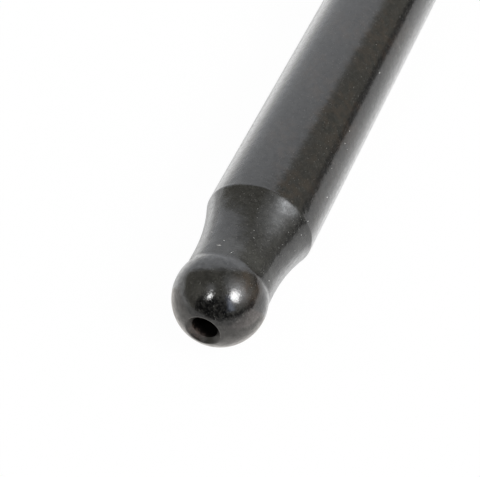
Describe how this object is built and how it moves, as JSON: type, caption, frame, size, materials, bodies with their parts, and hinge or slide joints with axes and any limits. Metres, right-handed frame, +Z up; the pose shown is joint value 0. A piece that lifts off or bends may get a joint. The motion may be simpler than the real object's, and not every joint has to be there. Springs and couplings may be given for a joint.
{
  "type": "engine pushrod",
  "caption": "Straight hollow steel pushrod, swaged to a drilled ball at each end, that carries valve lift and oil from a lifter to a rocker arm.",
  "frame": {"origin": "on the rod's axis, midway between the two ball tips", "axes": "X along the rod's axis from ball to ball; the rod is a body of revolution, so Y and Z are free, and +Z is up when it is held level"},
  "size_m": [0.2096, 0.0094, 0.0096],
  "materials": {
    "oxide_steel": "black oxide, satin on the tube and polished on the ball ends"
  },
  "bodies": {
    "root": {"pushrod": "oxide_steel"}
  },
  "joints": []
}
